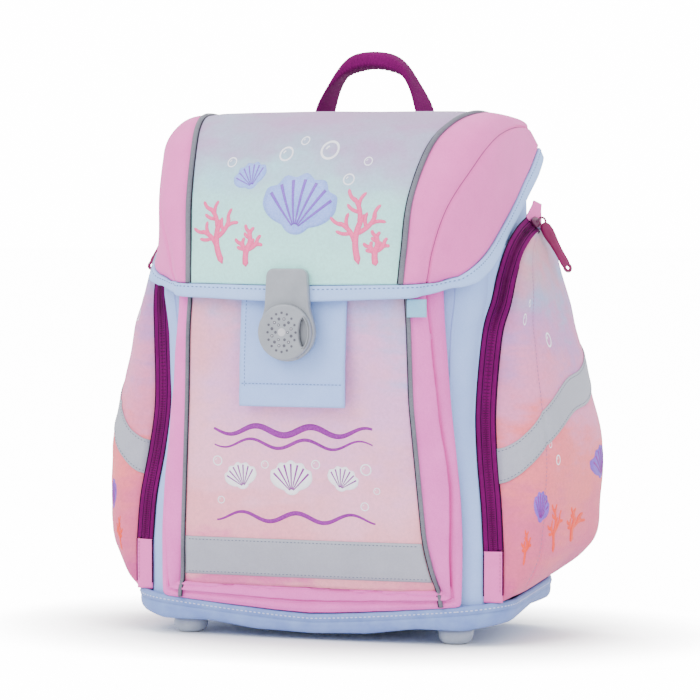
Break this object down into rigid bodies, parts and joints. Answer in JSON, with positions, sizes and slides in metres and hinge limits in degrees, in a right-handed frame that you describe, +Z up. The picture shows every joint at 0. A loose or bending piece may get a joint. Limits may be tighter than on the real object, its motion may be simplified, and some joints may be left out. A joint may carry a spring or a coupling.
{
  "type": "school ransel",
  "caption": "Boxy school ransel with a curved lid, push latch, zipped side pockets, front pocket, reflective stripes, moulded base, carry handle and padded straps",
  "frame": {"origin": "middle of the footprint, on the floor under the feet", "axes": "+Z up, +X towards the right seen from the front, -Y towards the front with the latch"},
  "size_m": [0.394, 0.2458, 0.455],
  "materials": {
    "lid_print": "printed polyester, satin",
    "pocket_print": "printed polyester, satin",
    "side_print": "printed polyester, satin",
    "pink_cloth": "smooth coated cloth",
    "blue_cloth": "smooth coated cloth",
    "binding_cloth": "folded and stitched",
    "piping_cloth": "reflective piping",
    "reflective_cloth": "reflective film on cloth",
    "tray_plastic": "moulded, fine grain",
    "foot_rubber": "smooth",
    "latch_plastic": "moulded, satin",
    "zip_cloth": "woven tape with coil",
    "slider_metal": "lacquered",
    "puller_plastic": "moulded, satin",
    "handle_cloth": "webbing over padding",
    "tab_cloth": "woven ribbon",
    "panel_cloth": "plain cloth",
    "pad_mesh": "spacer mesh",
    "webbing_cloth": "woven webbing",
    "adjuster_plastic": "moulded"
  },
  "bodies": {
    "bag": {"lid_centre_panel": "lid_print", "lid_binding": "binding_cloth", "lid_wing_right": "pink_cloth", "lid_wing_left": "pink_cloth", "lid_piping_right": "piping_cloth", "lid_piping_left": "piping_cloth", "body_shell": "blue_cloth", "base_tray": "tray_plastic", "foot_front_right": "foot_rubber", "foot_front_left": "foot_rubber", "foot_rear_right": "foot_rubber", "foot_rear_left": "foot_rubber", "pocket_front_panel": "pocket_print", "pocket_gusset": "pink_cloth", "pocket_piping_right": "piping_cloth", "pocket_piping_left": "piping_cloth", "front_stripe": "reflective_cloth", "closure_patch": "blue_cloth", "latch_plate": "latch_plastic", "latch_disc": "latch_plastic", "side_tab": "tab_cloth", "carry_handle": "handle_cloth", "back_panel": "panel_cloth", "back_pad_right": "pad_mesh", "back_pad_left": "pad_mesh", "back_pad_low": "pad_mesh", "side_pocket_right": "side_print", "side_stripe_right": "reflective_cloth", "zipper_tape_right": "zip_cloth", "zipper_foot_tab_right": "pink_cloth", "zipper_tip_right": "pink_cloth", "zip_slider_right": "slider_metal", "shoulder_strap_right": "pad_mesh", "strap_webbing_right": "webbing_cloth", "strap_adjuster_right": "adjuster_plastic", "side_pocket_left": "side_print", "side_stripe_left": "reflective_cloth", "zipper_tape_left": "zip_cloth", "zipper_foot_tab_left": "pink_cloth", "zipper_tip_left": "pink_cloth", "zip_slider_left": "slider_metal", "shoulder_strap_left": "pad_mesh", "strap_webbing_left": "webbing_cloth", "strap_adjuster_left": "adjuster_plastic"},
    "puller_right": {"zip_puller_right": "puller_plastic"},
    "puller_left": {"zip_puller_left": "puller_plastic"}
  },
  "joints": [
    {"name": "puller_right_swing", "type": "hinge", "parent": "bag", "child": "puller_right", "pos_m": [0.1528, 0.03425, 0.32104], "axis": [0, -1, 0], "range_deg": [0, 110]},
    {"name": "puller_left_swing", "type": "hinge", "parent": "bag", "child": "puller_left", "pos_m": [-0.1528, 0.03425, 0.32104], "axis": [0, 1, 0], "range_deg": [0, 110]}
  ]
}
